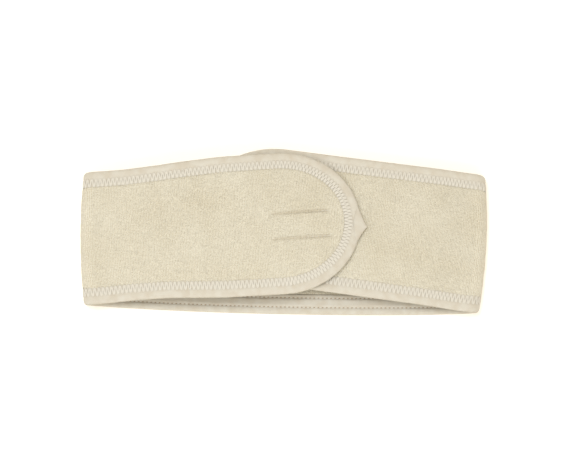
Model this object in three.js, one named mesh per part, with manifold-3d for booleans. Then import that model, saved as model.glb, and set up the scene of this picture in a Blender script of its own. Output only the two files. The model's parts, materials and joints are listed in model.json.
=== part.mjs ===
// Spa headband: one strip of stretch terry cloth with a bound edge, folded into a flattened loop.
// It lies on its back panel. +X runs to the wearer's right-hand fold, +Y across the band, +Z up.
// The origin is the middle of the back panel's underside. Millimetres.
//
// The flat strip has three coordinates: u runs round a fold, w runs across the band, and t goes
// in from the outer skin. A station is one line across the strip; stripPoint and place turn a
// point of a station into a point of the folded band.
import * as THREE from 'three';
import ManifoldModule from 'manifold-3d';

const radians = THREE.MathUtils.degToRad;

// Driving dimensions
const BAND_WIDTH = 86;          // the band at its folds and along the back
const FLAP_WIDTH = 89;          // the band where the closing flap begins
const CLOTH = 3.0;              // thickness of the terry cloth, and of its bound edge
const BACK_LENGTH = 238;        // back panel, from one fold line to the other
const HEAD_OPENING = 8.5;       // clear height inside the loop
const LEFT_LENGTH = 166;        // left panel with its flap, from the fold to the rounded end
const END_ROUNDING = 50;        // length over which each end narrows
const FLAP_LINE = 84;           // from the left fold to the line the flap peels back from
const RAMP_LENGTH = 56;         // where the left panel climbs over the end of the right one
const LEFT_LEAN = radians(2.4);     // how far the left fold line leans outwards at the top
const RIGHT_LEAN = radians(3.4);
const GAP = 0.3;                // clearance between neighbouring pieces

// Edge tape and its cover stitching
const PILE = 0.2;               // how far the pile stands above the tape on both skins
const TAPE = 0.5;               // thickness of the tape
const TAPE_OUTSIDE = 5.0;       // tape seen on the outer skin
const TAPE_INSIDE = 12.0;       // tape seen on the inner skin
const STITCH_BAND = 5.3;        // width of the band of thread beside the tape
const TAB_LENGTH = 5.0;         // the pinched join of the tape ends at the flap's tip
const TAB_WIDTH = 7.0;
const TAB_OFFSET = -5.0;        // from the middle of the band

// Hook and loop closure
const PATCH = 1.2;              // thickness of each patch
const HOOK_LENGTH = 40;
const HOOK_WIDTH = 20;
const HOOK_SETBACK = 37.5;      // from the flap's rounded end to the middle of the hook patch
const HOOK_OFFSET = -2.3;       // from the middle of the band
const LOOP_LENGTH = 80;
const LOOP_WIDTH = 25;
const LOOP_REACH = 10;          // how much further from the right fold the loop patch's middle is
const LOOP_MARGIN = 16;         // from the loop patch to the right panel's rounded end
const SEAM_INSET = 2;           // stitch line inside the patch's edge
const SEAM_GROOVE = 1.4;        // width of the crease that the stitches pull into the cloth
const SEAM_THREAD = 0.8;

// Worked out from the above
const HALF_BACK = BACK_LENGTH / 2;
const FOLD_RADIUS = (HEAD_OPENING + CLOTH) / 2;     // to the middle of the cloth
const OUTER_RADIUS = FOLD_RADIUS + CLOTH / 2;
const ARC = Math.PI * FOLD_RADIUS;
const STACK = CLOTH + 2 * PATCH + 3 * GAP;
const EDGE_CLEAR = TAPE + GAP;                      // cloth kept back from the band's edge
const PRESSED = PILE + TAPE + GAP;                  // depth at which tape presses the cloth
const STITCH_START = TAPE_OUTSIDE + GAP;
const STITCH_END = STITCH_START + STITCH_BAND;
const HOOK_CENTRE = LEFT_LENGTH - HOOK_SETBACK;                 // from the left fold
const LOOP_CENTRE = BACK_LENGTH - HOOK_CENTRE + LOOP_REACH;     // from the right fold
const RIGHT_LENGTH = LOOP_CENTRE + LOOP_LENGTH / 2 + LOOP_MARGIN;
const GROOVE_DEPTH = 2 * GAP + SEAM_THREAD / 2;     // room for a flattened thread in the crease

const LEFT = { mirror: 1, lean: LEFT_LEAN, rise: STACK };
const RIGHT = { mirror: -1, lean: RIGHT_LEAN, rise: 0 };

// Carries a point of the flat strip round a fold; u is zero where the back panel ends.
function place(side, u, w, t) {
  const along = w / Math.cos(side.lean) + u * Math.tan(side.lean);
  let out = -u;
  let height = t;
  if (u > 0 && u < ARC) {
    const angle = u / FOLD_RADIUS;
    out = -(OUTER_RADIUS - t) * Math.sin(angle);
    height = OUTER_RADIUS - (OUTER_RADIUS - t) * Math.cos(angle);
  } else if (u >= ARC) {
    out = u - ARC;
    height = 2 * OUTER_RADIUS - t + side.rise * THREE.MathUtils.smoothstep(out, 0, RAMP_LENGTH);
  }
  const x = -HALF_BACK + out * Math.cos(side.lean) - along * Math.sin(side.lean);
  const y = out * Math.sin(side.lean) + along * Math.cos(side.lean);
  return new THREE.Vector3(side.mirror * x, y, height);
}

// Half the band's width, at a distance past the left fold.
function leftHalfWidth(distance) {
  const towardsFlap = THREE.MathUtils.clamp(distance / FLAP_LINE, 0, 1);
  return THREE.MathUtils.lerp(BAND_WIDTH, FLAP_WIDTH, towardsFlap) / 2;
}

// Stations that follow a fold line, evenly spaced from one distance round the fold to another.
function foldStations(side, from, to, steps, halfWidth) {
  const stations = [];
  for (let i = 0; i <= steps; i += 1) {
    const u = THREE.MathUtils.lerp(from, to, i / steps);
    stations.push({ side, u, square: 0, turn: 0, half: halfWidth(u - ARC) });
  }
  return stations;
}

// A station square across a front panel, at a distance past the fold.
function squareStation(side, distance, half, turn = 0) {
  return { side, u: ARC + distance * Math.cos(side.lean), square: 1, turn, half };
}

// Stations of a rounded end; each one's edge faces the way the outline turns.
function endStations(side, length, half, steps) {
  const stations = [];
  const last = 0.95;
  for (let i = 1; i <= steps; i += 1) {
    const angle = (i / steps) * last * Math.PI / 2;
    const turn = Math.atan2(half * Math.sin(angle), END_ROUNDING * Math.cos(angle));
    const distance = length - END_ROUNDING * (1 - Math.sin(angle));
    stations.push(squareStation(side, distance, half * Math.cos(angle), turn));
  }
  return stations;
}

// The point of a station that lies a given inset from its top (row 1) or bottom (row -1) edge.
function stripPoint(station, row, inset, t) {
  const { side } = station;
  const w = row * (station.half - inset * Math.cos(station.turn));
  const back = inset * Math.sin(station.turn) * Math.cos(side.lean);
  const u = station.u - back - station.square * w * Math.sin(side.lean);
  return place(side, u, w, t);
}

const manifold = await ManifoldModule();
manifold.setup();

// One closed body from a three.js geometry, with its faces turned outwards.
function body(geometry) {
  const points = geometry.getAttribute('position');
  const index = geometry.index
    ? Uint32Array.from(geometry.index.array)
    : Uint32Array.from({ length: points.count }, (_, i) => i);
  const a = new THREE.Vector3();
  const b = new THREE.Vector3();
  const c = new THREE.Vector3();
  let volume = 0;
  for (let i = 0; i < index.length; i += 3) {
    a.fromBufferAttribute(points, index[i]);
    b.fromBufferAttribute(points, index[i + 1]);
    c.fromBufferAttribute(points, index[i + 2]);
    volume += a.dot(b.cross(c));
  }
  if (volume < 0) {
    for (let i = 0; i < index.length; i += 3) {
      [index[i], index[i + 1]] = [index[i + 1], index[i]];
    }
  }
  const mesh = new manifold.Mesh({
    numProp: 3,
    vertProperties: Float32Array.from(points.array),
    triVerts: index,
  });
  mesh.merge();
  return new manifold.Manifold(mesh);
}

function toGeometry(solid) {
  const mesh = solid.getMesh();
  const geometry = new THREE.BufferGeometry();
  geometry.setAttribute('position', new THREE.BufferAttribute(mesh.vertProperties, 3));
  geometry.setIndex(new THREE.BufferAttribute(mesh.triVerts, 1));
  geometry.computeVertexNormals();
  return geometry;
}

// Moves every vertex of a geometry to the point that a function gives for it.
function mapped(geometry, move) {
  const points = geometry.getAttribute('position');
  const vertex = new THREE.Vector3();
  for (let i = 0; i < points.count; i += 1) {
    vertex.fromBufferAttribute(points, i);
    const moved = move(vertex);
    points.setXYZ(i, moved.x, moved.y, moved.z);
  }
  return body(geometry);
}

// A plate along the stations, from edge to edge less the inset, between two depths.
function plate(stations, inset, shallow, deep) {
  const steps = stations.length - 1;
  return mapped(new THREE.BoxGeometry(1, 1, 1, steps, 1, 1), ({ x, y, z }) => (
    stripPoint(stations[Math.round((x + 0.5) * steps)], Math.sign(y), inset, z < 0 ? shallow : deep)
  ));
}

// The terry cloth: full thickness in the middle, thinner where tape and stitching press it.
function cloth(stations) {
  const pressed = plate(stations, EDGE_CLEAR, PRESSED, CLOTH - PRESSED);
  const outerPile = plate(stations, STITCH_END + GAP, 0, CLOTH - PRESSED - GAP);
  const innerPile = plate(stations, TAPE_INSIDE + GAP, PRESSED + GAP, CLOTH);
  return pressed.add(outerPile).add(innerPile);
}

// One edge of the stations, or both edges joined round the rounded end.
function edge(stations, row) {
  return stations.map((station) => ({ station, row }));
}

function edgeRoundEnd(stations) {
  return [...edge(stations, 1), ...edge(stations, -1).reverse()];
}

// Sweeps a profile, whose points are (inset, depth), along an edge.
function sweep(profile, path) {
  const shape = new THREE.Shape(profile.map(([inset, depth]) => new THREE.Vector2(inset, depth)));
  const steps = path.length - 1;
  const geometry = new THREE.ExtrudeGeometry(shape, { steps, depth: 1, bevelEnabled: false });
  return mapped(geometry, ({ x, y, z }) => {
    const { station, row } = path[Math.round(z * steps)];
    return stripPoint(station, row, x, y);
  });
}

// The edge tape wraps the cloth's edge and reaches further in on the inner skin.
function tape(path) {
  const outer = PILE;
  const inner = CLOTH - PILE;
  return sweep([
    [0, outer], [TAPE_OUTSIDE, outer], [TAPE_OUTSIDE, outer + TAPE], [TAPE, outer + TAPE],
    [TAPE, inner - TAPE], [TAPE_INSIDE, inner - TAPE], [TAPE_INSIDE, inner], [0, inner],
  ], path);
}

// The cover stitching lies level with the tape's outer side, beside it.
function coverStitch(path) {
  return sweep([
    [STITCH_START, PILE], [STITCH_END, PILE],
    [STITCH_END, PILE + TAPE], [STITCH_START, PILE + TAPE],
  ], path);
}

// A patch's place: its side, its middle along and across the band, and its size.
const HOOK = {
  side: LEFT,
  centre: HOOK_CENTRE,
  offset: HOOK_OFFSET,
  length: HOOK_LENGTH,
  width: HOOK_WIDTH,
};
const LOOP = {
  side: RIGHT,
  centre: LOOP_CENTRE,
  offset: 0,
  length: LOOP_LENGTH,
  width: LOOP_WIDTH,
};

// A rectangular block on a front panel, smaller than its patch by a margin all round.
function block({ side, centre, offset, length, width }, margin, shallow, deep) {
  const box = new THREE.BoxGeometry(length - 2 * margin, width - 2 * margin, 1);
  return mapped(box, ({ x, y, z }) => {
    const w = offset + y;
    const u = ARC + (centre + x) * Math.cos(side.lean) - w * Math.sin(side.lean);
    return place(side, u, w, z < 0 ? shallow : deep);
  });
}

// A rectangular ring whose middle line runs inside a patch's edge.
function seamRing(patch, thickness, shallow, deep) {
  const outside = block(patch, SEAM_INSET - thickness / 2, shallow, deep);
  const inside = block(patch, SEAM_INSET + thickness / 2, shallow - 1, deep + 1);
  return outside.subtract(inside);
}

const group = new THREE.Group();
group.name = 'spa_headband';

const colours = {
  terry: '#e6dcc4', tape: '#eae2cf', thread: '#f1ebdd', hook: '#e9e2d2', loop: '#ece5d6',
};

function add(name, material, solid) {
  const paint = new THREE.MeshStandardMaterial({ color: colours[material], roughness: 0.95 });
  paint.name = material;
  const mesh = new THREE.Mesh(toGeometry(solid), paint);
  mesh.name = name;
  group.add(mesh);
}

// Stations of the four lengths of the band, from fold to fold and out to the two ends
const ARC_STEPS = 5;
const HALF_ARC = ARC / 2;
const constantHalf = () => BAND_WIDTH / 2;

const backStations = [
  ...foldStations(LEFT, HALF_ARC - GAP / 2, 0, ARC_STEPS, constantHalf),
  ...foldStations(RIGHT, 0, HALF_ARC - GAP / 2, ARC_STEPS, constantHalf),
];
const leftStations = [
  ...foldStations(LEFT, HALF_ARC + GAP / 2, ARC, ARC_STEPS, leftHalfWidth),
  ...foldStations(LEFT, ARC, ARC + RAMP_LENGTH, 8, leftHalfWidth).slice(1),
  squareStation(LEFT, FLAP_LINE - GAP / 2, FLAP_WIDTH / 2),
];
const flapStations = [
  squareStation(LEFT, FLAP_LINE + GAP / 2, FLAP_WIDTH / 2),
  squareStation(LEFT, LEFT_LENGTH - END_ROUNDING, FLAP_WIDTH / 2),
  ...endStations(LEFT, LEFT_LENGTH, FLAP_WIDTH / 2, 12),
];
const rightStations = [
  ...foldStations(RIGHT, HALF_ARC + GAP / 2, ARC, ARC_STEPS, constantHalf),
  squareStation(RIGHT, RIGHT_LENGTH - END_ROUNDING, BAND_WIDTH / 2),
  ...endStations(RIGHT, RIGHT_LENGTH, BAND_WIDTH / 2, 12),
];

// Back panel, which carries half of each fold
add('back_terry_cloth', 'terry', cloth(backStations));
add('back_edge_tape_top', 'tape', tape(edge(backStations, 1)));
add('back_edge_tape_bottom', 'tape', tape(edge(backStations, -1)));
add('back_cover_stitch_top', 'thread', coverStitch(edge(backStations, 1)));
add('back_cover_stitch_bottom', 'thread', coverStitch(edge(backStations, -1)));

// Left panel, from its fold to the line the flap peels back from
add('left_terry_cloth', 'terry', cloth(leftStations));
add('left_edge_tape_top', 'tape', tape(edge(leftStations, 1)));
add('left_edge_tape_bottom', 'tape', tape(edge(leftStations, -1)));
add('left_cover_stitch_top', 'thread', coverStitch(edge(leftStations, 1)));
add('left_cover_stitch_bottom', 'thread', coverStitch(edge(leftStations, -1)));

// Flap: the free end of the left panel, with the hook patch sewn under it
const flapGroove = seamRing(HOOK, SEAM_GROOVE, -1, GROOVE_DEPTH);
add('flap_terry_cloth', 'terry', cloth(flapStations).subtract(flapGroove));
add('flap_edge_tape', 'tape', tape(edgeRoundEnd(flapStations)));
add('flap_cover_stitch', 'thread', coverStitch(edgeRoundEnd(flapStations)));
add('hook_patch', 'hook', block(HOOK, 0, CLOTH + GAP, CLOTH + GAP + PATCH));
add('hook_patch_stitching', 'thread', seamRing(HOOK, SEAM_THREAD, GAP, GROOVE_DEPTH - GAP));

// The pinched tab where the two ends of the tape meet at the flap's tip
function tapeJoin() {
  const outline = new THREE.Shape();
  outline.moveTo(GAP, -TAB_WIDTH / 2);
  outline.quadraticCurveTo(TAB_LENGTH, -TAB_WIDTH / 3, TAB_LENGTH, 0);
  outline.quadraticCurveTo(TAB_LENGTH, TAB_WIDTH / 3, GAP, TAB_WIDTH / 2);
  const depth = CLOTH - 2 * PRESSED;
  const tip = LEFT_LENGTH - END_ROUNDING * (1 - Math.sqrt(1 - (2 * TAB_OFFSET / FLAP_WIDTH) ** 2));
  const geometry = new THREE.ExtrudeGeometry(outline, { depth, bevelEnabled: false, curveSegments: 6 });
  return mapped(geometry, ({ x, y, z }) => {
    const w = TAB_OFFSET + y;
    const u = ARC + (tip + x) * Math.cos(LEFT.lean) - w * Math.sin(LEFT.lean);
    return place(LEFT, u, w, PRESSED + z);
  });
}
add('edge_tape_join', 'tape', tapeJoin());

// Right panel, which runs under the flap, with the loop patch sewn on top of it
const rightGroove = seamRing(LOOP, SEAM_GROOVE, CLOTH - GROOVE_DEPTH, CLOTH + 1);
add('right_terry_cloth', 'terry', cloth(rightStations).subtract(rightGroove));
add('right_edge_tape', 'tape', tape(edgeRoundEnd(rightStations)));
add('right_cover_stitch', 'thread', coverStitch(edgeRoundEnd(rightStations)));
add('loop_patch', 'loop', block(LOOP, 0, -GAP - PATCH, -GAP));
add('loop_patch_stitching', 'thread', seamRing(
  LOOP, SEAM_THREAD, CLOTH - GROOVE_DEPTH + GAP, CLOTH - GAP,
));

export default group;
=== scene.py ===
import json
import math
import bpy
import numpy as np
from mathutils import Matrix, Vector


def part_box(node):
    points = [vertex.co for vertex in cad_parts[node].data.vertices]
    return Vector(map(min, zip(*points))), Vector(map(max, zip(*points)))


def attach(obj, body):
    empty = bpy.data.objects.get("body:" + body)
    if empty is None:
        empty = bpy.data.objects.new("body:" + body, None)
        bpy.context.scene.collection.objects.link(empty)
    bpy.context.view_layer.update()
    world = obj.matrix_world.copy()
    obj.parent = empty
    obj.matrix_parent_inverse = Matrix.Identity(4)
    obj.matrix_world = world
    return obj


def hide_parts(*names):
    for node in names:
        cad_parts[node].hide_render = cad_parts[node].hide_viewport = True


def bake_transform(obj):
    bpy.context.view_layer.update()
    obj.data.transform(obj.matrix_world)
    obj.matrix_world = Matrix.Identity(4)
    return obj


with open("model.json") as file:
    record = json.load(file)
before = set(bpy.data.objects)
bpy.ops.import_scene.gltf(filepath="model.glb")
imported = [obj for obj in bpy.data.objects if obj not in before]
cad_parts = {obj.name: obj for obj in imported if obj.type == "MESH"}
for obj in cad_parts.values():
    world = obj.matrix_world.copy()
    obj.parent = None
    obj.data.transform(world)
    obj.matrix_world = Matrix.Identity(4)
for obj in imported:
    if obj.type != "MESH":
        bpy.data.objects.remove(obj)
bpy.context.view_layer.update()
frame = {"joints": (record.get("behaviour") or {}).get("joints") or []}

joints = {joint["name"]: joint for joint in frame["joints"]}


# ---- Terry cloth strip -----------------------------------------------------------------------
# One length of ivory stretch terry, knitted in fine ribs that run across the band. It is folded
# at both sides into a flat loop, and its two rounded ends lap over each other at the front.

# The flat strip: s runs along it from mid-back, w across it and t in from the outer skin.
LEAN_LEFT = math.asin(joints["left_fold"]["axis"][0])
LEAN_RIGHT = math.asin(joints["right_fold"]["axis"][0])
OUTER_RADIUS = joints["left_fold"]["pos_m"][2]
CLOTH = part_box("flap_terry_cloth")[1].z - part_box("flap_terry_cloth")[0].z
FOLD_RADIUS = OUTER_RADIUS - CLOTH / 2
ARC = math.pi * FOLD_RADIUS
HALF_BACK = (-joints["left_fold"]["pos_m"][0] - OUTER_RADIUS * math.cos(LEAN_LEFT)
             - ARC / 2 * math.tan(LEAN_LEFT) * math.sin(LEAN_LEFT))
FLAP_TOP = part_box("flap_terry_cloth")[1].z
RISE = FLAP_TOP - 2 * OUTER_RADIUS      # how far the left panel climbs to lie over the right one
RAMP = 0.056                            # length of that climb
LEFT_LENGTH = 0.1655                    # from the left fold to the flap's rounded end
RIGHT_LENGTH = 0.1755
ROUNDING_LEFT = 0.0495
ROUNDING_RIGHT = 0.050
LEFT_START = -(HALF_BACK + ARC / math.cos(LEAN_LEFT))       # where the left panel leaves its fold
RIGHT_START = HALF_BACK + ARC / math.cos(LEAN_RIGHT)


def smooth(value, low=0.0, high=1.0):
    """0 at low, 1 at high and smooth between."""
    share = np.clip((np.asarray(value, float) - low) / (high - low), 0, 1)
    return share * share * (3 - 2 * share)


def half_width(s):
    """Half the band's width: narrowest just past the left fold, widest at the flap."""
    marks = [LEFT_START - 0.105, LEFT_START - 0.08, LEFT_START - 0.060, LEFT_START - 0.043,
             LEFT_START - 0.022, LEFT_START, 0, RIGHT_START, RIGHT_START + 0.09]
    widths = [0.0446, 0.0444, 0.0432, 0.0421, 0.0416, 0.0420, 0.0425, 0.0437, 0.0432]
    return np.interp(s, marks, widths)


BACK_SHIFT = 0.0018     # how far the back panel's ends lie up from the line of the folds
BACK_BOW = 0.0030       # how far its middle bows down from its ends


def drift(s):
    """How far the strip's middle line strays across the band; the back panel bows a little."""
    back = BACK_SHIFT - BACK_BOW * (1 - np.clip(s / HALF_BACK, -1, 1) ** 2)
    return back * smooth(-np.abs(s), -(HALF_BACK + ARC), -HALF_BACK)


def fold_round(u, w, t, lean, rise):
    """A point of the strip carried round a fold that leans; u is zero where the back panel ends."""
    along = w / math.cos(lean) + u * math.tan(lean)
    turn = np.clip(u / FOLD_RADIUS, 0, math.pi)
    past = np.maximum(u - ARC, 0)
    out = past - np.minimum(u, 0) - (OUTER_RADIUS - t) * np.sin(turn)
    z = OUTER_RADIUS - (OUTER_RADIUS - t) * np.cos(turn) + rise * smooth(past, 0, RAMP)
    x = -HALF_BACK + out * math.cos(lean) - along * math.sin(lean)
    y = out * math.sin(lean) + along * math.cos(lean)
    return x, y, z


DROOP = 0.0016
DROOP_SPAN = (0.085, 0.125)     # distances past the left fold over which the droop sets in


def flap_droop(s, w):
    """The flap's rim sinks towards the panel under it."""
    past = LEFT_START - s
    reach = np.maximum(past - (LEFT_LENGTH - ROUNDING_LEFT), 0) / ROUNDING_LEFT
    rim = np.sqrt(reach ** 2 + (w / half_width(s)) ** 2)
    return DROOP * smooth(rim, 0.5, 1.02) * smooth(past, *DROOP_SPAN)


LEFT_BOW = (-0.0014, 0.0016)    # shift in x at mid width, and how much is added at the edges
RIGHT_BOW = (-0.0017, -0.0021)
BOW_SPAN = (0.012, 0.042)       # distances from the fold over which the shift fades


def fold_bow(s, w):
    """The edge tape draws the folds in towards the band's edges."""
    share = (w / half_width(s)) ** 2
    shift = 0
    for sign, (at_middle, at_edge) in ((-1, LEFT_BOW), (1, RIGHT_BOW)):
        near = 1 - smooth(np.abs(s - sign * (HALF_BACK + ARC / 2)), *BOW_SPAN)
        shift = shift + near * (at_middle + at_edge * share)
    return shift


def band(s, w, t):
    """Positions in the folded band of points of the flat strip."""
    s, w, t = np.broadcast_arrays(*(np.asarray(v, float) for v in (s, w, t)))
    w = w + drift(s)
    u_left = (-s - HALF_BACK) * math.cos(LEAN_LEFT) - w * math.sin(LEAN_LEFT)
    u_right = (s - HALF_BACK) * math.cos(LEAN_RIGHT) - w * math.sin(LEAN_RIGHT)
    x, y, z = s.copy(), w.copy(), t.copy()
    for u, lean, rise, mirror in ((u_left, LEAN_LEFT, RISE, 1), (u_right, LEAN_RIGHT, 0, -1)):
        on = u > 0
        fx, fy, fz = fold_round(u[on], w[on], t[on], lean, rise)
        x[on], y[on], z[on] = mirror * fx, fy, fz
    x += fold_bow(s, w)
    z -= np.where(s < LEFT_START, flap_droop(s, w), 0)
    return np.stack([x, y, z], -1)


GRID = 256                  # cells each way before the random values repeat
GRID_START = (97, 53)


def lattice(s, w, cell, seed):
    """Smooth random values from -1 to 1 over the strip, one per cell, blended between."""
    grid = np.random.default_rng(seed).uniform(-1, 1, (GRID, GRID))
    a = np.asarray(s) / cell + GRID_START[0]
    b = np.asarray(w) / cell + GRID_START[1]
    i, j = np.floor(a).astype(int), np.floor(b).astype(int)
    p, q = smooth(a - i), smooth(b - j)

    def between(row):
        """Values between two neighbours along the strip, in one row of cells."""
        return grid[i % GRID, row % GRID] * (1 - p) + grid[(i + 1) % GRID, row % GRID] * p

    return between(j) * (1 - q) + between(j + 1) * q


# Columns run across the strip, closer together round the rounded ends.
STRAIGHT_COLUMNS = 655
END_COLUMNS = 81
straight = np.linspace(LEFT_START - LEFT_LENGTH + ROUNDING_LEFT,
                       RIGHT_START + RIGHT_LENGTH - ROUNDING_RIGHT, STRAIGHT_COLUMNS)
turn_left = np.linspace(math.pi / 2, 0, END_COLUMNS)[:-1]
turn_right = np.linspace(0, math.pi / 2, END_COLUMNS)[1:]


def end_columns(turns, start, length, sign):
    """Edge point, inward direction and middle point of each column round one rounded end."""
    half = float(half_width(start))
    edge = np.stack([start + sign * length * np.sin(turns), half * np.cos(turns)], -1)
    inward = -np.stack([sign * np.sin(turns) / length, np.cos(turns) / half], -1)
    inward /= np.linalg.norm(inward, axis=1, keepdims=True)
    middle = np.full_like(turns, start)
    return edge, inward, middle


flap_end = end_columns(turn_left, straight[0], ROUNDING_LEFT, -1)
hidden_end = end_columns(turn_right, straight[-1], ROUNDING_RIGHT, 1)
edge = np.concatenate([flap_end[0], np.stack([straight, half_width(straight)], -1), hidden_end[0]])
inward = np.concatenate([flap_end[1], np.tile([0.0, -1.0], (len(straight), 1)), hidden_end[1]])
middle = np.concatenate([flap_end[2], straight, hidden_end[2]])

# The strip is cut where no joint bends it: in the middle of the back, and in the left panel.
PANEL_CUT = LEFT_START - 0.058
cut_panel = int(np.argmin(np.abs(edge[:, 0] - PANEL_CUT)))
cut_back = int(np.argmin(np.abs(edge[:, 0])))
LENGTHS = {
    "flap": (0, cut_panel),
    "left": (cut_panel, cut_back),
    "right": (cut_back, len(edge) - 1),
}

# Rows follow the edge as far in as the rim goes, closest at the tape's raw edge; from there they
# close up to the middle line. FIELD is about how much further in that is.
RIM = 0.0140
FIELD = 0.03
rim_rows = np.concatenate([np.linspace(0, 0.0085, 9), np.linspace(0.0091, RIM, 12)])
field_rows = np.linspace(0, 1, 37)[1:]


def strip_grid(side):
    """Flat places and insets of all columns by rows, on one side (1 upper, -1 lower)."""
    rim = edge[:, None, :] + inward[:, None, :] * rim_rows[None, :, None]
    centre = np.stack([middle, np.zeros_like(middle)], -1)[:, None, :]
    field = rim[:, -1:, :] + (centre - rim[:, -1:, :]) * field_rows[None, :, None]
    flat = np.concatenate([rim, field], 1)
    inset = np.concatenate([rim_rows, RIM + FIELD * field_rows])[None, :]
    return flat[..., 0], side * flat[..., 1], np.broadcast_to(inset, flat.shape[:2])


# The two patches and their seams press the cloth, so their places are needed here.
SEAM_INSET = 0.002      # from a patch's edge to its stitches
HOOK_SIZE = (0.040, 0.020)
LOOP_SIZE = (0.080, 0.025)
HOOK_AT = (LEFT_START - 0.1285, -0.0023)
LOOP_AT = (RIGHT_START + 0.1195, 0.0)


def ring_distance(s, w, at, size):
    """Distance from a patch's stitched rectangle; it is negative inside."""
    across = np.abs(s - at[0]) - (size[0] / 2 - SEAM_INSET)
    along = np.abs(w - at[1]) - (size[1] / 2 - SEAM_INSET)
    outside = np.hypot(np.maximum(across, 0), np.maximum(along, 0))
    return outside + np.minimum(np.maximum(across, along), 0)


def under_patch(s, w, at, size):
    """1 where a patch lies on the cloth and keeps it flat, 0 well away from it."""
    return 1 - smooth(ring_distance(s, w, at, size), 0.002, 0.006)


PRESSED_OUTER = 0.0012      # how deep the tape and its stitches press the outer skin
PRESSED_INNER = 0.0011      # and the inner skin
CREASE_DEPTH = 0.0012
CREASE_WIDTH = 0.00105
SHORT_SIDE = 0.12           # share of the crease's depth on the hook patch's short sides


def outer_depth(s, w, inset):
    """Depth of the outer skin: level on the table, puffed elsewhere, pressed down by seams."""
    off_table = smooth(np.abs(s), HALF_BACK - 0.004, HALF_BACK + 0.010)
    at_fold = 1 - smooth(np.abs(np.abs(s) - HALF_BACK - ARC / 2), 0.010, 0.030)
    puff = 0.0005 * smooth(inset, 0.0095, 0.020) + 0.0004 * smooth(inset, 0.014, 0.034)
    puff = puff * (1 - 0.6 * at_fold)
    lumps = 0.00011 * lattice(s, w, 0.0021, 3) + 0.00022 * lattice(s, w, 0.011, 4)
    depth = off_table * (lumps * smooth(inset, 0.010, 0.014) - puff)
    from_line = ring_distance(s, w, HOOK_AT, HOOK_SIZE)
    long_side = smooth(np.abs(w - HOOK_AT[1]) - (HOOK_SIZE[1] / 2 - SEAM_INSET), -0.003, -0.0005)
    crease = np.exp(-(from_line / CREASE_WIDTH) ** 2) * (SHORT_SIDE + (1 - SHORT_SIDE) * long_side)
    depth = depth + CREASE_DEPTH * crease
    depth = depth * (1 - under_patch(s, w, LOOP_AT, LOOP_SIZE))
    return PRESSED_OUTER + (depth - PRESSED_OUTER) * smooth(inset, 0.0088, 0.0112)


def inner_depth(s, w, inset):
    """Depth of the inner skin, which seams press from the other side."""
    puff = 0.0004 * smooth(inset, 0.012, 0.024)
    lumps = 0.00012 * lattice(s, w, 0.0023, 5) * smooth(inset, 0.012, 0.015)
    depth = CLOTH + (puff + lumps) * (1 - under_patch(s, w, HOOK_AT, HOOK_SIZE))
    pressed = CLOTH - PRESSED_INNER
    return pressed + (depth - pressed) * smooth(inset, 0.0112, 0.0132)


def make_object(name, points, faces, flat):
    """A mesh object with its places on the strip in a UV map, for knit and stitches to follow."""
    mesh = bpy.data.meshes.new(name)
    mesh.from_pydata(points.tolist(), [], faces)
    mesh.update()
    mesh.shade_smooth()
    places = mesh.uv_layers.new(name="strip")
    corner = np.empty(len(mesh.loops), int)
    mesh.loops.foreach_get("vertex_index", corner)
    places.data.foreach_set("uv", flat[corner].astype(np.float32).ravel())
    thing = bpy.data.objects.new(name, mesh)
    bpy.context.scene.collection.objects.link(thing)
    return thing


def grid_quads(index, turned):
    """Faces over a grid of point numbers; a quad that closed up is a triangle, or left out."""
    a, b = index[:-1, :-1], index[1:, :-1]
    c, d = index[1:, 1:], index[:-1, 1:]
    quads = np.stack([a, d, c, b] if turned else [a, b, c, d], -1).reshape(-1, 4)
    faces = []
    for quad in quads.tolist():
        ring = [p for k, p in enumerate(quad) if p != quad[k - 1]]
        if len(set(ring)) == len(ring) > 2:
            faces.append(ring)
    return faces


def merge(points, flat):
    """Joins points that share a place; returns the kept points and each old point's new number."""
    key = np.round(points * 1e7).astype(np.int64)       # tenths of a micrometre
    _, first, number = np.unique(key, axis=0, return_index=True, return_inverse=True)
    return points[first], flat[first], number.ravel()


def turned_out(points, faces):
    """Faces with their sides swapped if the closed mesh is inside out."""
    fans = np.array([(ring[0], ring[k], ring[k + 1])
                     for ring in faces for k in range(1, len(ring) - 1)])
    a, b, c = (points[fans[:, k]] for k in range(3))
    volume = np.sum(a * np.cross(b, c))
    return [ring[::-1] for ring in faces] if volume < 0 else faces


def cut_normals(thing, normals_at, caps):
    """Gives the points on a cut the direction the whole strip has there, so that no line shows.

    A zero direction leaves a point as it is, and so do the caps, which no one sees.
    """
    mesh = thing.data
    at_point = np.zeros((len(mesh.vertices), 3))
    at_point[list(normals_at)] = list(normals_at.values())
    corner = np.empty(len(mesh.loops), int)
    mesh.loops.foreach_get("vertex_index", corner)
    wanted = at_point[corner]
    for cap in caps:
        wanted[list(mesh.polygons[cap].loop_indices)] = 0
    mesh.normals_split_custom_set(wanted.tolist())


def grid_directions(points):
    """Unit directions square to a grid of points."""
    along = np.gradient(points, axis=0)
    across = np.gradient(points, axis=1)
    direction = np.cross(along, across)
    return direction / np.maximum(np.linalg.norm(direction, axis=-1, keepdims=True), 1e-12)


skins = {}
for side in (1, -1):
    s, w, inset = strip_grid(side)
    for skin, depth in (("outer", outer_depth), ("inner", inner_depth)):
        points = band(s, w, depth(s, w, inset))
        skins[skin, side] = (points, np.stack([s, w], -1), grid_directions(points))


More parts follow.
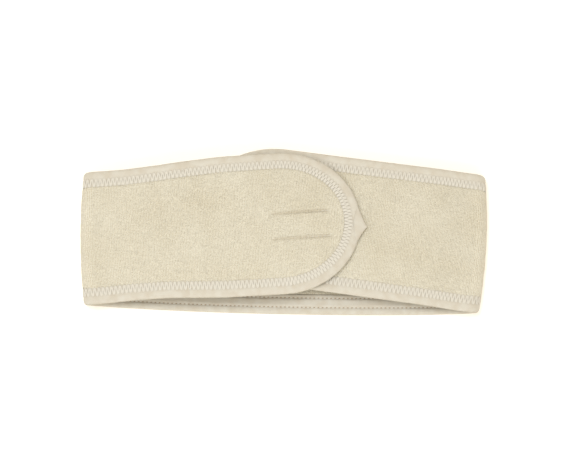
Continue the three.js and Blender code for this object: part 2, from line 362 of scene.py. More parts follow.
def cloth_length(name, first, last):
    """One length of the strip as a closed body: two skins, the rims, and a cap at each cut."""
    keys = [("outer", 1), ("outer", -1), ("inner", 1), ("inner", -1)]
    blocks = [skins[key][0][first:last + 1] for key in keys]
    flats = [skins[key][1][first:last + 1] for key in keys]
    shape = blocks[0].shape[:2]
    points, flat, number = merge(np.concatenate([b.reshape(-1, 3) for b in blocks]),
                                 np.concatenate([f.reshape(-1, 2) for f in flats]))
    grids = [g.reshape(shape) for g in np.split(number, 4)]
    faces = []
    for grid, turned in zip(grids, (False, True, True, False)):
        faces += grid_quads(grid, turned)
    for upper, lower, turned in ((grids[0], grids[2], True), (grids[1], grids[3], False)):
        faces += grid_quads(np.stack([upper[:, 0], lower[:, 0]], 1), turned)
    skin_faces = len(faces)
    for column, turned in ((0, False), (shape[0] - 1, True)):
        if (first + column) in (0, len(edge) - 1):
            continue
        for outer, inner, flip in ((grids[0], grids[2], turned), (grids[1], grids[3], not turned)):
            faces += grid_quads(np.stack([outer[column], inner[column]], 1), flip)
    thing = make_object(name, points, turned_out(points, faces), flat)

    # Rows 0 and 1 are on the rim, which the tape covers; the others get the whole strip's direction.
    directions = {}
    for key, grid in zip(keys, grids):
        whole = skins[key][2][first:last + 1]
        for column in (0, shape[0] - 1):
            if (first + column) not in (0, len(edge) - 1):
                for row in range(2, shape[1]):
                    directions[int(grid[column, row])] = whole[column, row]
    mesh = thing.data
    for vertex, direction in directions.items():
        if np.dot(direction, mesh.vertices[vertex].normal) < 0:
            directions[vertex] = -direction
    cut_normals(thing, directions, set(range(skin_faces, len(faces))))
    return thing


cloth = {
    name: cloth_length("terry_cloth_" + name, first, last)
    for name, (first, last) in LENGTHS.items()
}


class Knit:
    """One value or colour in a material; sums written with it become that material's nodes."""

    def __init__(self, tree, socket=None):
        self.tree, self.socket = tree, socket

    def node(self, kind, settings=None, sockets=None, output=0):
        made = self.tree.nodes.new(kind)
        for key, value in (settings or {}).items():
            setattr(made, key, value)
        for key, value in (sockets or {}).items():
            if isinstance(value, Knit):
                self.tree.links.new(value.socket, made.inputs[key])
            else:
                made.inputs[key].default_value = value
        return Knit(self.tree, made.outputs[output])

    def other(self, output):
        """Another output of the node that this value comes from."""
        return Knit(self.tree, self.socket.node.outputs[output])

    def math(self, operation, *values):
        return self.node("ShaderNodeMath", {"operation": operation}, dict(enumerate(values)))

    def __add__(self, other):
        return self.math("ADD", self, other)

    def __mul__(self, other):
        return self.math("MULTIPLY", self, other)

    def __sub__(self, other):
        return self.math("SUBTRACT", self, other)

    def __rsub__(self, other):
        return self.math("SUBTRACT", other, self)

    __radd__ = __add__
    __rmul__ = __mul__

    def between(self, low, high):
        """0 at low, 1 at high and smooth between."""
        return self.node("ShaderNodeMapRange", {"interpolation_type": "SMOOTHSTEP"},
                         {"Value": self, "From Min": low, "From Max": high})

    def blend(self, first, second):
        """Colour mixed by this value, from first to second."""
        return self.node("ShaderNodeMix", {"data_type": "RGBA"},
                         {"Factor": self, 6: first, 7: second}, output=2)


def fabric(name, colour, roughness, sheen):
    """A new cloth material and its empty value; constants go straight on the shader."""
    material = bpy.data.materials.new(name)
    material.use_nodes = True
    material.diffuse_color = (*colour, 1)
    tree = material.node_tree
    shader = tree.nodes["Principled BSDF"]
    shader.inputs["Roughness"].default_value = roughness
    shader.inputs["Specular IOR Level"].default_value = 0.25
    shader.inputs["Sheen Weight"].default_value = sheen
    shader.inputs["Sheen Roughness"].default_value = 0.5
    return material, shader, Knit(tree)


def strip_place(start):
    """Distance along and across the strip, in millimetres."""
    place = start.node("ShaderNodeUVMap", {"uv_map": "strip"})
    along = start.node("ShaderNodeSeparateXYZ", None, {0: place})
    return along * 1000, along.other(1) * 1000


def speckle(start, along, across, size, detail=2.0):
    """Noise of a given size in millimetres that stays put on the strip."""
    place = start.node("ShaderNodeCombineXYZ", None, {0: along, 1: across})
    return start.node("ShaderNodeTexNoise", {"noise_dimensions": "2D"},
                      {"Vector": place, "Scale": 1 / size, "Detail": detail}, output=0)


def stripes(start, along, pitch):
    """A wave from 0 to 1 that repeats every pitch."""
    return start.math("SINE", along * (2 * math.pi / pitch)) * 0.5 + 0.5


def wire_up(start, shader, colour, height, distance, strength):
    """Sends a colour to the shader, and a height through a bump node."""
    bump = start.node("ShaderNodeBump", None,
                      {"Strength": strength, "Distance": distance, "Height": height})
    start.tree.links.new(colour.socket, shader.inputs["Base Color"])
    start.tree.links.new(bump.socket, shader.inputs["Normal"])


TERRY = (0.828, 0.796, 0.692)
TERRY_DEEP = (0.615, 0.545, 0.395)
# Painted shade: the colour that the hook patch's creases are darkened towards.
TERRY_CREASE_SHADE = (0.520, 0.410, 0.250)
RIB = 0.95              # millimetres from one knitted rib to the next


def hook_creases(start, along, across):
    """1 on the two long creases over the hook patch's stitches, 0 away from them."""
    half_length, half_height = (1000 * (side / 2 - SEAM_INSET) for side in HOOK_SIZE)
    from_middle = start.math("ABSOLUTE", across - 1000 * HOOK_AT[1])
    from_seam = start.math("ABSOLUTE", from_middle - half_height)
    from_centre = start.math("ABSOLUTE", along - 1000 * HOOK_AT[0])
    past_end = from_centre.between(half_length - 1.5, half_length + 0.5)
    return (1 - from_seam.between(0.0, 1.3)) * (1 - past_end)


def terry_material():
    material, shader, start = fabric("ivory_terry", TERRY, 0.95, 0.35)
    along, across = strip_place(start)
    sway = speckle(start, along, across, 9.0) * 1.2
    rib = stripes(start, along + sway, RIB)
    loops = speckle(start, along, across * 0.75, 0.55, 3.0)
    tufts = speckle(start, along, across, 2.6)
    broad = speckle(start, along, across, 24.0, 1.0)
    crease = hook_creases(start, along, across)
    height = rib * 0.4 + loops * 1.3 + tufts * 0.4 - crease * 0.7
    shade = (rib * 0.28 + loops * 0.9 + broad * 0.25).between(0.30, 0.95)
    pile = shade.blend((*TERRY_DEEP, 1), (*TERRY, 1))
    # Painted shade: the creases are darkened in colour as well as sunk by the bump.
    wire_up(start, shader, (crease * 0.22).blend(pile, (*TERRY_CREASE_SHADE, 1)), height, 0.0007, 0.9)
    return material


terry = terry_material()
for name, piece in cloth.items():
    piece.data.materials.append(terry)

# Each length stays as it was built, with its placement baked into its points.
INNER_RELIEF = 0.0013   # tape and threads stand this far proud of the inner skin, and stay rigid
FRONT_SIDE = Vector((0, 0, 2 * OUTER_RADIUS - CLOTH - INNER_RELIEF))


def bend_with(piece):
    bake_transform(piece)


STRIP_WIDTH = 2 * float(half_width(0))
for name, piece in cloth.items():
    bend_with(piece)
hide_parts("flap_terry_cloth")
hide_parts("left_terry_cloth", "back_terry_cloth")
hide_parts("right_terry_cloth")


# ---- Edge tape -------------------------------------------------------------------------------
# One length of smooth knitted tape, folded over the cloth's edge all the way round and sewn
# through both sides. It reaches further in on the inner skin than on the outer one.

def distances(points):
    """Distance along a path at each of its points."""
    return np.concatenate([[0], np.cumsum(np.linalg.norm(np.diff(points, axis=0), axis=1))])


def edge_run(columns, sides):
    """The edge as a path: places, inward directions and distance along it."""
    flip = np.stack([np.ones_like(sides, float), np.asarray(sides, float)], -1)
    place, facing = edge[columns] * flip, inward[columns] * flip
    return place, facing, distances(place)


def one_side(first, last, side):
    columns = np.arange(first, last + 1)
    return edge_run(columns, np.full(len(columns), side))


def round_end(cut, tip):
    """From the cut along the upper edge, round the tip and back along the lower edge."""
    step = 1 if tip > cut else -1
    out = np.arange(cut, tip + step, step)
    return edge_run(np.concatenate([out, out[::-1][1:]]),
                    np.concatenate([np.ones(len(out)), -np.ones(len(out) - 1)]))


RUNS = {
    "flap": [("", round_end(cut_panel, 0))],
    "left": [
        ("_upper", one_side(cut_panel, cut_back, 1)),
        ("_lower", one_side(cut_panel, cut_back, -1)),
    ],
    "right": [("", round_end(cut_back, len(edge) - 1))],
}

# The tape's middle surface in section, as inset and depth in millimetres: on the outer skin it
# dips under the stitches, then it goes round the rim, and on the inner skin it dips at both
# needle rows.
OUTER_LEG = [(10.6, 0.95), (9.6, 0.86), (8.0, 0.80), (6.4, 0.82), (5.4, 0.80), (4.6, 0.52)]
TAPE_RIM = [(3.6, 0.30), (2.4, 0.30), (1.3, 0.50), (0.55, 0.95), (0.24, 1.60), (0.45, 2.30),
            (1.2, 2.80), (2.3, 3.00)]
INNER_LEG = [(3.4, 2.98), (4.2, 2.50), (5.0, 2.98), (7.0, 3.08), (9.3, 2.98), (10.1, 2.46),
             (10.9, 2.90), (12.4, 2.74)]
TAPE_LINE = 0.001 * np.array(OUTER_LEG + TAPE_RIM + INNER_LEG)
TAPE_HALF = 0.00021         # half the tape's thickness
TAPE_POINTS = 44            # points along the section


def rounded(points, count):
    """A smooth curve of evenly spaced points through the given ones."""
    travel = distances(points)
    at = np.linspace(0, travel[-1], count)
    slope = np.gradient(points, travel, axis=0)
    k = np.clip(np.searchsorted(travel, at, side="right") - 1, 0, len(travel) - 2)
    gap = (travel[k + 1] - travel[k])[:, None]
    f = ((at - travel[k]) / gap[:, 0])[:, None]
    return ((2 * f ** 3 - 3 * f ** 2 + 1) * points[k] + (f ** 3 - 2 * f ** 2 + f) * gap * slope[k]
            + (3 * f ** 2 - 2 * f ** 3) * points[k + 1] + (f ** 3 - f ** 2) * gap * slope[k + 1])


def tape_profile():
    """The tape's closed outline in section, and how far across the tape each point lies."""
    line = rounded(TAPE_LINE, TAPE_POINTS)
    tangent = np.gradient(line, axis=0)
    tangent /= np.linalg.norm(tangent, axis=1, keepdims=True)
    square = np.stack([-tangent[:, 1], tangent[:, 0]], -1)
    across = distances(line)
    outside, inside = line - square * TAPE_HALF, line + square * TAPE_HALF
    return np.concatenate([outside, inside[::-1]]), np.concatenate([across, across[::-1]])


tape_section, tape_across = tape_profile()

STITCH = 0.0026                     # length of one stitch
NEEDLE_ROWS = (0.0042, 0.0101)      # insets of the two needle rows on the inner skin
inner_side = tape_section[:, 1] > CLOTH / 2
inner_insets, inner_across = tape_section[inner_side, 0], tape_across[inner_side]
NEEDLE_ACROSS = [float(inner_across[np.argmin(np.abs(inner_insets - row))]) for row in NEEDLE_ROWS]


def stitch_count(run):
    """Whole stitches along a path, so that the stitching meets itself at the cuts."""
    return round(float(run[2][-1]) / STITCH)


def on_edge(run, inset, depth):
    """Positions at insets and depths along a path of the edge."""
    place, facing, _ = run
    flat = place[:, None, :] + facing[:, None, :] * np.asarray(inset)[None, :, None]
    return band(flat[..., 0], flat[..., 1], np.asarray(depth)[None, :])


def swept(name, run, section, across):
    """A closed section swept along a path of the edge, with capped ends."""
    points = on_edge(run, section[:, 0], section[:, 1])
    count, ring = points.shape[:2]
    stitched = run[2] * (stitch_count(run) * STITCH / run[2][-1])
    flat = np.stack(np.broadcast_arrays(stitched[:, None], across[None, :]), -1)
    index = np.arange(count * ring).reshape(count, ring)
    faces = grid_quads(np.concatenate([index, index[:, :1]], 1), False)
    half = ring // 2
    for row, turned in ((index[0], False), (index[-1], True)):
        faces += grid_quads(np.stack([row[:half], row[:half - 1:-1]], 1), turned)
    points = points.reshape(-1, 3)
    return make_object(name, points, turned_out(points, faces), flat.reshape(-1, 2))


def smooth_cuts(thing, run, section):
    """Keeps the shading of a swept piece unbroken at the cuts, where the next one goes on."""
    points = on_edge(run, section[:, 0], section[:, 1])
    closed = np.concatenate([points[:, -1:], points, points[:, :1]], 1)
    directions = grid_directions(closed)[:, 1:-1]
    ring = points.shape[1]
    found = {}
    for column in (0, len(points) - 1):
        for k in range(ring):
            vertex = column * ring + k
            direction = directions[column, k]
            if np.dot(direction, thing.data.vertices[vertex].normal) < 0:
                direction = -direction
            found[vertex] = direction
    # A cap's faces keep to one ring and reach across it.
    caps = {p.index for p in thing.data.polygons
            if max(p.vertices) - min(p.vertices) < ring
            and abs(p.vertices[0] - p.vertices[-1]) >= ring // 2}
    cut_normals(thing, found, caps)


TAPE = (0.652, 0.632, 0.574)
TAPE_SHADE = (0.560, 0.506, 0.422)
# Painted shade: the dark colour of the needle holes, where shade falls in the pits.
NEEDLE_HOLE_SHADE = (0.420, 0.320, 0.210)


def needle_hole(start, from_hole, across, row):
    """1 in the needle holes of one row of stitches, a little longer than wide."""
    aside = (across - 1000 * row) * 1.2
    away = start.math("SQRT", from_hole * from_hole + aside * aside)
    return 1 - away.between(0.25, 0.75)


def tape_material():
    material, shader, start = fabric("knitted_edge_tape", TAPE, 0.85, 0.30)
    along, across = strip_place(start)
    ribs = stripes(start, across, 0.55)
    grain = speckle(start, along, across, 0.35)
    soft = speckle(start, along, across, 5.0, 1.0)
    pitch = 1000 * STITCH
    stitches = along * (1 / pitch)
    from_hole = start.math("ABSOLUTE", start.math("FRACT", stitches + 0.5) - 0.5) * pitch
    first, second = (needle_hole(start, from_hole, across, row) for row in NEEDLE_ACROSS)
    holes = first + second
    height = ribs * 0.25 + grain * 0.4 - holes * 1.5
    shade = (ribs * 0.15 + grain * 0.5 + soft * 0.45).between(0.25, 0.8)
    plain = shade.blend((*TAPE_SHADE, 1), (*TAPE, 1))
    # Painted shade: the needle holes are darkened in colour as well as sunk by the bump.
    wire_up(start, shader, holes.blend(plain, (*NEEDLE_HOLE_SHADE, 1)), height, 0.00025, 0.6)
    return material


tape = tape_material()
for name, runs in RUNS.items():
    for part, run in runs:
        piece = swept("edge_tape_" + name + part, run, tape_section, tape_across)
        smooth_cuts(piece, run, tape_section)
        piece.data.materials.append(tape)
        bend_with(piece)
        "terry_cloth_" + name
        name + part
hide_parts("flap_edge_tape")
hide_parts("left_edge_tape_top", "back_edge_tape_top")
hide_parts("left_edge_tape_bottom", "back_edge_tape_bottom")
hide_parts("right_edge_tape")


# ---- Cover stitching -------------------------------------------------------------------------
# Spun polyester thread. On the outer skin the looper thread crosses to and fro over the tape's
# raw edge; on the inner skin two rows of needle stitches hold the tape down.

THREAD = (0.765, 0.742, 0.690)
THREAD_SHADE = (0.685, 0.652, 0.585)


def thread_material():
    material, shader, start = fabric("spun_thread", THREAD, 0.75, 0.25)
    along, across = strip_place(start)
    twist = stripes(start, along + across * 0.6, 0.45)
    hairs = speckle(start, along, across, 0.25)
    shade = (twist * 0.5 + hairs * 0.5).between(0.2, 0.8)
    colour = shade.blend((*THREAD_SHADE, 1), (*THREAD, 1))
    wire_up(start, shader, colour, twist + hairs, 0.0001, 0.5)
    return material


thread = thread_material()
TAPER = 0.45                # width of a thread's ends, as a share of the rest


def tube(path, radius, sides=6):
    """Points and faces of a round thread along a path, with narrower, closed ends."""
    path = np.asarray(path, float)
    forward = np.gradient(path, axis=0)
    forward /= np.maximum(np.linalg.norm(forward, axis=1, keepdims=True), 1e-12)
    up = np.tile([0.0, 0.0, 1.0], (len(path), 1))
    sideways = np.cross(forward, up)
    weak = np.linalg.norm(sideways, axis=1) < 0.2
    sideways[weak] = np.cross(forward[weak], [0.0, 1.0, 0.0])
    sideways /= np.linalg.norm(sideways, axis=1, keepdims=True)
    upward = np.cross(sideways, forward)
    angles = np.linspace(0, 2 * math.pi, sides, endpoint=False)
    size = np.full(len(path), radius)
    size[[0, -1]] *= TAPER
    rings = (path[:, None] + size[:, None, None]
             * (np.cos(angles)[None, :, None] * sideways[:, None]
                + np.sin(angles)[None, :, None] * upward[:, None]))
    index = np.arange(len(path) * sides).reshape(len(path), sides)
    around = np.concatenate([index, index[:, :1]], 1)
    faces = np.stack([around[:-1, :-1], around[1:, :-1], around[1:, 1:], around[:-1, 1:]], -1)
    faces = faces.reshape(-1, 4).tolist()
    faces.append(index[0].tolist())
    faces.append(index[-1][::-1].tolist())
    return rings.reshape(-1, 3), faces


def threads(name, paths, radius, sides=6):
    """Many threads as one piece; the UV map holds the distance along and round each thread."""
    points, faces, flat, total = [], [], [], 0
    for path in paths:
        new, quads = tube(path, radius, sides)
        points.append(new)
        faces += [[total + v for v in ring] for ring in quads]
        flat.append(np.stack([np.repeat(distances(path), sides),
                              np.tile(np.linspace(0, 0.001, sides), len(path))], -1))
        total += len(new)
    piece = make_object(name, np.concatenate(points), faces, np.concatenate(flat))
    piece.data.materials.append(thread)
    return piece


def along_edge(run, travel, inset, depth):
    """Positions at distances along the edge, each with its own inset and depth."""
    place, facing, marks = run
    at = [np.interp(travel, marks, column) for column in (*place.T, *facing.T)]
    s = at[0] + at[2] * inset
    w = at[1] + at[3] * inset
    return band(s, w, depth)


LOOPER_SPAN = (0.0048, 0.0101)              # insets of the zigzag's turns
LOOPER_STRANDS = ((0.0, 1.0), (0.17, 0.94)) # each strand's lag and reach, as shares
LOOPER_RADIUS = 0.00033
LOOPER_POINTS = 12                          # points in one stitch
NEEDLE_RADIUS = 0.00024


def looper_paths(run):
    """The looper thread: two strands side by side that zigzag between the needle lines."""
    stitches = stitch_count(run)
    pitch = run[2][-1] / stitches
    phase = np.linspace(0, stitches, stitches * LOOPER_POINTS + 1)
    paths = []
    for shift, reach in LOOPER_STRANDS:
        share = (phase + shift) % 1
        swing = np.where(share < 0.5, share * 2, 2 - share * 2)
        swing = 0.5 + (smooth(swing) - 0.5) * reach
        inset = LOOPER_SPAN[0] + (LOOPER_SPAN[1] - LOOPER_SPAN[0]) * swing
        bulge = np.sin(math.pi * np.clip(swing, 0, 1))
        depth = 0.00044 - 0.00016 * bulge - 0.00006 * (shift > 0)
        travel = np.clip(phase * pitch, 0.0001, run[2][-1] - 0.0001)
        paths.append(along_edge(run, travel, inset, depth))
    return paths


def needle_paths(run):
    """Short stitches that dip into the tape at both ends."""
    paths = []
    pitch = run[2][-1] / stitch_count(run)
    share = np.linspace(0.16, 0.84, 6)
    arch = np.sin(math.pi * (share - share[0]) / (share[-1] - share[0]))
    depth = CLOTH - 0.00050 + 0.00034 * arch
    for row in NEEDLE_ROWS:
        for k in range(stitch_count(run)):
            paths.append(along_edge(run, (k + share) * pitch, row, depth))
    return paths


SEWN_NODES = {
    "flap": ("flap_cover_stitch",),
    "left_upper": ("left_cover_stitch_top", "back_cover_stitch_top"),
    "left_lower": ("left_cover_stitch_bottom", "back_cover_stitch_bottom"),
    "right": ("right_cover_stitch",),
}
for name, runs in RUNS.items():
    for part, run in runs:
        looper = threads("looper_thread_" + name + part, looper_paths(run), LOOPER_RADIUS, 5)
        needle = threads("needle_thread_" + name + part, needle_paths(run), NEEDLE_RADIUS)
        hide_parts(*SEWN_NODES[name + part])
        bend_with(looper)
        bend_with(needle)


# ---- Tape join -------------------------------------------------------------------------------
# The two ends of the tape meet at the flap's tip, where they are folded together and pinched
# into a small point.

TAB_TIP = (LEFT_START - 0.1695, -0.0062)
TAB_FOOT = (-0.0125, 0.0105)    # the foot's ends along the tape, from the place nearest the tip
TAB_COLUMNS = 25
TAB_ROWS = 10
TAB_CROWN = 0.0003              # how proud the foot stands in its middle
TAB_PINCH = 0.0010              # how much each skin sinks towards the tip


def tape_join():
    """A folded point: two skins that rise from the tape and close at the tip."""
    place, facing, travel = RUNS["flap"][0][1]
    near = np.argmin(np.hypot(place[:, 0] - TAB_TIP[0], place[:, 1] - TAB_TIP[1]))
    at = np.clip(travel[near] + np.linspace(*TAB_FOOT, TAB_COLUMNS), 0, travel[-1])
    foot, into = (np.stack([np.interp(at, travel, column) for column in path.T], -1)
                  for path in (place, facing))
    rise = np.linspace(0, 1, TAB_ROWS)[None, :]
    taper = (1 - np.abs(np.linspace(-1, 1, TAB_COLUMNS)) ** 2.2)[:, None]
    inset = 0.0042 * (1 - rise) ** 1.3 * taper + 0.0003
    base = foot[:, None, :] + into[:, None, :] * inset[..., None]
    spots = base + (np.array(TAB_TIP) - base) * (0.985 * rise ** 0.9 * taper)[..., None]
    pinch = TAB_PINCH * rise ** 1.5
    top = band(spots[..., 0], spots[..., 1], 0.00012 - TAB_CROWN * taper * (1 - rise) + pinch)
    low = band(spots[..., 0], spots[..., 1], CLOTH - 0.0004 - pinch)
    shape = top.shape[:2]
    flat = spots.reshape(-1, 2)
    points, flat, number = merge(np.concatenate([top.reshape(-1, 3), low.reshape(-1, 3)]),
                                 np.concatenate([flat, flat]))
    upper, lower = (g.reshape(shape) for g in np.split(number, 2))
    faces = grid_quads(upper, False) + grid_quads(lower, True)
    for a, b, turned in ((upper[:, 0], lower[:, 0], True), (upper[:, -1], lower[:, -1], False)):
        faces += grid_quads(np.stack([a, b], 1), turned)
    for a, b, turned in ((upper[0], lower[0], False), (upper[-1], lower[-1], True)):
        faces += grid_quads(np.stack([a, b], 1), turned)
    return make_object("edge_tape_join_point", points, turned_out(points, faces), flat)


tab = tape_join()
tab.data.materials.append(tape)
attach(tab, "flap")
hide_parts("edge_tape_join")


# ---- Hook patch ------------------------------------------------------------------------------
# A rectangle of woven nylon tape with rows of small hooks, sewn under the flap. Its line of
# stitches pulls a rectangular crease into the flap's outer skin.

def patch_place(at, x, y):
    """A place on the flat strip from a place on the patch."""
    return at[0] + x, at[1] + y


PLATE_CORNER = 0.0015
PLATE_SHARES = [0.04, 0.2, 0.36, 0.52, 0.68, 0.84, 0.95, 0.985, 1.0]    # rings, from the middle out
PLATE_SOFT = 0.25           # share of the thickness that each edge is eased by


def patch_plate(name, at, size, top, bottom):
    """A thin plate with rounded corners and eased edges."""
    corner = PLATE_CORNER
    rim = []
    for cx, cy, start in ((1, 1, 0), (-1, 1, 90), (-1, -1, 180), (1, -1, 270)):
        for angle in np.radians(start + np.linspace(0, 90, 6)):
            rim.append((cx * (size[0] / 2 - corner) + corner * math.cos(angle),
                        cy * (size[1] / 2 - corner) + corner * math.sin(angle)))
    rim = np.array(rim)
    ease = (bottom - top) * PLATE_SOFT
    rings = [(share, top if share < 1 else top + ease) for share in PLATE_SHARES]
    rings += [(share, bottom if share < 1 else bottom - ease) for share in PLATE_SHARES[::-1]]
    points, flat = [], []
    for share, depth in rings:
        s, w = patch_place(at, rim[:, 0] * share, rim[:, 1] * share)
        points.append(band(s, w, depth))
        flat.append(np.stack([s, w], -1))
    index = np.arange(len(rings) * len(rim)).reshape(len(rings), len(rim))
    faces = grid_quads(np.concatenate([index, index[:, :1]], 1), False)
    faces += [index[0].tolist(), index[-1][::-1].tolist()]
    points = np.concatenate(points)
    return make_object(name, points, turned_out(points, faces), np.concatenate(flat))


def patch_material(name, colour, shade_colour, roughness, size, weave):
    """Cloth with a plain weave and a little fuzz, of the given pitch and size in millimetres."""
    material, shader, start = fabric(name, colour, roughness, 0.2)
    along, across = strip_place(start)
    warp = stripes(start, along, weave)
    weft = stripes(start, across, weave)
    fuzz = speckle(start, along, across, size, 3.0)
    height = warp * weft + fuzz * 0.6
    shade = (warp * weft * 0.4 + fuzz * 0.6).between(0.2, 0.8)
    wire_up(start, shader, shade.blend((*shade_colour, 1), (*colour, 1)), height, 0.0002, 0.6)
    return material


HOOK_TAPE = (0.83, 0.78, 0.68)
HOOK_TAPE_SHADE = (0.70, 0.64, 0.53)
BACKING = 0.0005            # thickness of a patch without its hooks or loops
HOOK_BASE = CLOTH + 0.00015     # depths of the backing's two sides
HOOK_FACE = HOOK_BASE + BACKING

hook_plate = patch_plate("hook_patch_backing", HOOK_AT, HOOK_SIZE, HOOK_BASE, HOOK_FACE)
hook_plate.data.materials.append(
    patch_material("woven_hook_tape", HOOK_TAPE, HOOK_TAPE_SHADE, 0.6, 0.5, 0.7))
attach(hook_plate, "flap")


HOOK_STRAIGHT = 0.000377    # height at which a hook starts to bend
HOOK_BEND = 0.00016         # radius of the bend
HOOK_ROOT = 0.00005         # how deep a hook starts inside the backing
HOOK_RADIUS = 0.00007
HOOK_PITCH = (0.0010, 0.0011)
HOOK_FIELD = (0.0175, 0.0078)       # half the hooked area
HOOK_STAGGER = 0.0004       # every other row is moved across by this


def hook_path(x, y):
    """A hook: up from the backing, then bent over."""
    bend = np.radians(np.linspace(0, 200, 7)[1:])
    across = np.concatenate([[0, 0], HOOK_BEND * (1 - np.cos(bend))])
    tall = np.concatenate([[0, HOOK_STRAIGHT], HOOK_STRAIGHT + 1.3 * HOOK_BEND * np.sin(bend)])
    s, w = patch_place(HOOK_AT, x + across, np.full_like(across, y))
    return band(s, w, HOOK_FACE - HOOK_ROOT + tall)


def spots_in(field, pitch):
    """Coordinates of rows and columns that fill a rectangle of the given half sizes."""
    return [np.arange(-half, half + 0.0001, step) for half, step in zip(field, pitch)]


hook_x, hook_y = spots_in(HOOK_FIELD, HOOK_PITCH)
hooks = threads("hook_patch_hooks",
                [hook_path(x, y + HOOK_STAGGER * (row % 2)) for row, x in enumerate(hook_x)
                 for y in hook_y],
                HOOK_RADIUS, 4)
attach(hooks, "flap")
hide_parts("hook_patch")


SEAM_STITCH = 0.0025


def stitched_ring(at, size, depth_low, depth_high):
    """Stitches in a rectangle inside a patch's edge, each an arch between two needle holes."""
    half = (size[0] / 2 - SEAM_INSET, size[1] / 2 - SEAM_INSET)
    corners = [(-half[0], -half[1]), (half[0], -half[1]), (half[0], half[1]), (-half[0], half[1])]
    paths = []
    for k, start in enumerate(corners):
        start, end = np.array(start), np.array(corners[(k + 1) % 4])
        count = round(np.linalg.norm(end - start) / SEAM_STITCH)
        for stitch in range(count):
            share = (stitch + np.linspace(0.1, 0.9, 7)) / count
            spot = start + (end - start) * share[:, None]
            arch = np.sin(math.pi * np.linspace(0, 1, 7))
            s, w = patch_place(at, spot[:, 0], spot[:, 1])
            paths.append(band(s, w, depth_low + (depth_high - depth_low) * arch))
    return paths


hook_seam = threads("hook_patch_seam",
                    stitched_ring(HOOK_AT, HOOK_SIZE, 0.00095, 0.00048)
                    + stitched_ring(HOOK_AT, HOOK_SIZE, HOOK_FACE - 0.0002, HOOK_FACE + 0.0002),
                    NEEDLE_RADIUS)
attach(hook_seam, "flap")
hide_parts("hook_patch_stitching")


# ---- Loop patch ------------------------------------------------------------------------------
# Brushed nylon loop tape sewn on top of the right panel, under the flap. It is longer than the
# hook patch, so the band can be closed at different sizes.

LOOP_TAPE = (0.86, 0.81, 0.71)
LOOP_TAPE_SHADE = (0.76, 0.69, 0.57)
LOOP_FACE = -0.0010         # depths of the backing's two sides, from the cloth's outer skin
LOOP_UNDERSIDE = -0.00012

loop_plate = patch_plate("loop_patch_backing", LOOP_AT, LOOP_SIZE, LOOP_FACE, LOOP_UNDERSIDE)
loop_plate.data.materials.append(
    patch_material("brushed_loop_tape", LOOP_TAPE, LOOP_TAPE_SHADE, 0.9, 0.45, 0.6))
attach(loop_plate, "right_panel")


LOOP_SPREAD = 0.00055       # half the distance between a loop's feet
LOOP_ROOT = 0.00005         # how deep the feet lie in the backing
LOOP_HEIGHTS = (0.00035, 0.0006)
LOOP_RADIUS = 0.00006
LOOP_PITCH = (0.0011, 0.0011)
LOOP_FIELD = (0.0385, 0.0110)       # half the brushed area
LOOP_JITTER = 0.0004


def loop_path(x, y, lean, tall):
    """One brushed loop: an arch that leans its own way."""
    share = np.linspace(0, math.pi, 7)
    s, w = patch_place(LOOP_AT, x + LOOP_SPREAD * math.cos(lean) * np.cos(share),
                       y + LOOP_SPREAD * math.sin(lean) * np.cos(share))
    return band(s, w, LOOP_FACE + LOOP_ROOT - tall * np.sin(share))


draw = np.random.default_rng(11)
loop_x, loop_y = spots_in(LOOP_FIELD, LOOP_PITCH)
loop_spots = [(x + draw.uniform(-LOOP_JITTER, LOOP_JITTER),
               y + draw.uniform(-LOOP_JITTER, LOOP_JITTER))
              for x in loop_x for y in loop_y]
loops = threads("loop_patch_loops",
                [loop_path(x, y, draw.uniform(0, math.pi), draw.uniform(*LOOP_HEIGHTS))
                 for x, y in loop_spots],
                LOOP_RADIUS, 4)
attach(loops, "right_panel")
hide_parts("loop_patch")

loop_seam = threads("loop_patch_seam",
                    stitched_ring(LOOP_AT, LOOP_SIZE, CLOTH - 0.0002, CLOTH + 0.0004)
                    + stitched_ring(LOOP_AT, LOOP_SIZE, LOOP_FACE + 0.0001, LOOP_FACE - 0.0003),
                    NEEDLE_RADIUS)
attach(loop_seam, "right_panel")
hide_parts("loop_patch_stitching")


# ---- Table, light and camera -----------------------------------------------------------------
# A plain white table under soft light from above, seen from nearly overhead.

TABLE_GLOW = 0.22           # a little light of its own keeps the table white
TABLE_HALF = 3.0
TABLE_DEPTH = -0.0002       # just clear of the cloth that lies on it
WARM = (1.0, 0.88, 0.68, 1)
LAMP = (0.89, 0.945, 1.0)


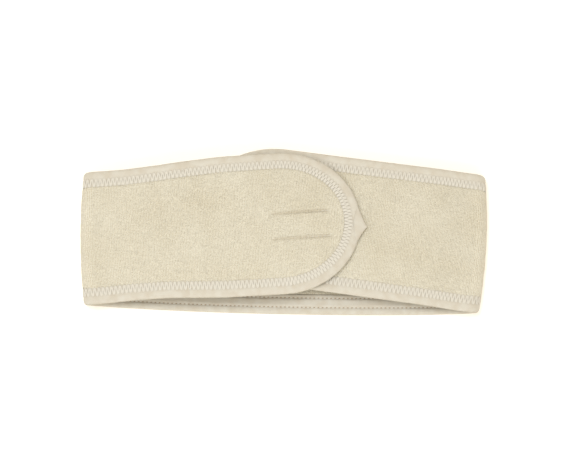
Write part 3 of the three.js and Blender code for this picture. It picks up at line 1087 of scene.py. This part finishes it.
def table_material():
    material = bpy.data.materials.new("table_white")
    material.use_nodes = True
    shader = material.node_tree.nodes["Principled BSDF"]
    shader.inputs["Base Color"].default_value = (0.98, 0.98, 0.98, 1)
    shader.inputs["Roughness"].default_value = 0.9
    shader.inputs["Emission Color"].default_value = (1.0, 0.90, 0.74, 1)
    shader.inputs["Emission Strength"].default_value = TABLE_GLOW
    return material


corners = [(x * TABLE_HALF, y * TABLE_HALF, TABLE_DEPTH)
           for x, y in ((-1, -1), (1, -1), (1, 1), (-1, 1))]
floor_mesh = bpy.data.meshes.new("floor")
floor_mesh.from_pydata(corners, [], [(0, 1, 2, 3)])
floor = bpy.data.objects.new("floor", floor_mesh)
bpy.context.scene.collection.objects.link(floor)
floor.data.materials.append(table_material())

world = bpy.data.worlds.new("studio")
world.use_nodes = True
world.node_tree.nodes["Background"].inputs["Color"].default_value = WARM
world.node_tree.nodes["Background"].inputs["Strength"].default_value = 0.72
bpy.context.scene.world = world


def panel_light(name, place, size, power):
    """A round soft light that faces the middle of the scene."""
    lamp = bpy.data.lights.new(name, "AREA")
    lamp.shape = "DISK"
    lamp.size = size
    lamp.energy = power
    lamp.color = LAMP
    thing = bpy.data.objects.new(name, lamp)
    thing.location = place
    thing.rotation_euler = (-Vector(place)).to_track_quat("-Z", "Y").to_euler()
    bpy.context.scene.collection.objects.link(thing)


panel_light("key", (-0.20, 0.10, 1.08), size=0.45, power=5.0)
panel_light("front_fill", (0.05, -0.75, 0.80), size=0.60, power=3.6)

FOCUS = Vector((-0.0006, 0.0063, 0.010))
ELEVATION = math.radians(78)
DISTANCE = 1.0
ROLL = math.radians(0.82)
FOCAL_LENGTH = 101.4        # millimetres, on a sensor 36 wide
SENSOR = 36
lens = bpy.data.cameras.new("camera")
lens.sensor_width = SENSOR
lens.lens = FOCAL_LENGTH
camera = bpy.data.objects.new("camera", lens)
camera.location = FOCUS + DISTANCE * Vector((0, -math.cos(ELEVATION), math.sin(ELEVATION)))
aim = (FOCUS - camera.location).to_track_quat("-Z", "Y").to_matrix()
camera.rotation_euler = (aim @ Matrix.Rotation(ROLL, 3, "Z")).to_euler()
bpy.context.scene.collection.objects.link(camera)
bpy.context.scene.camera = camera
bpy.context.scene.view_settings.view_transform = "Standard"
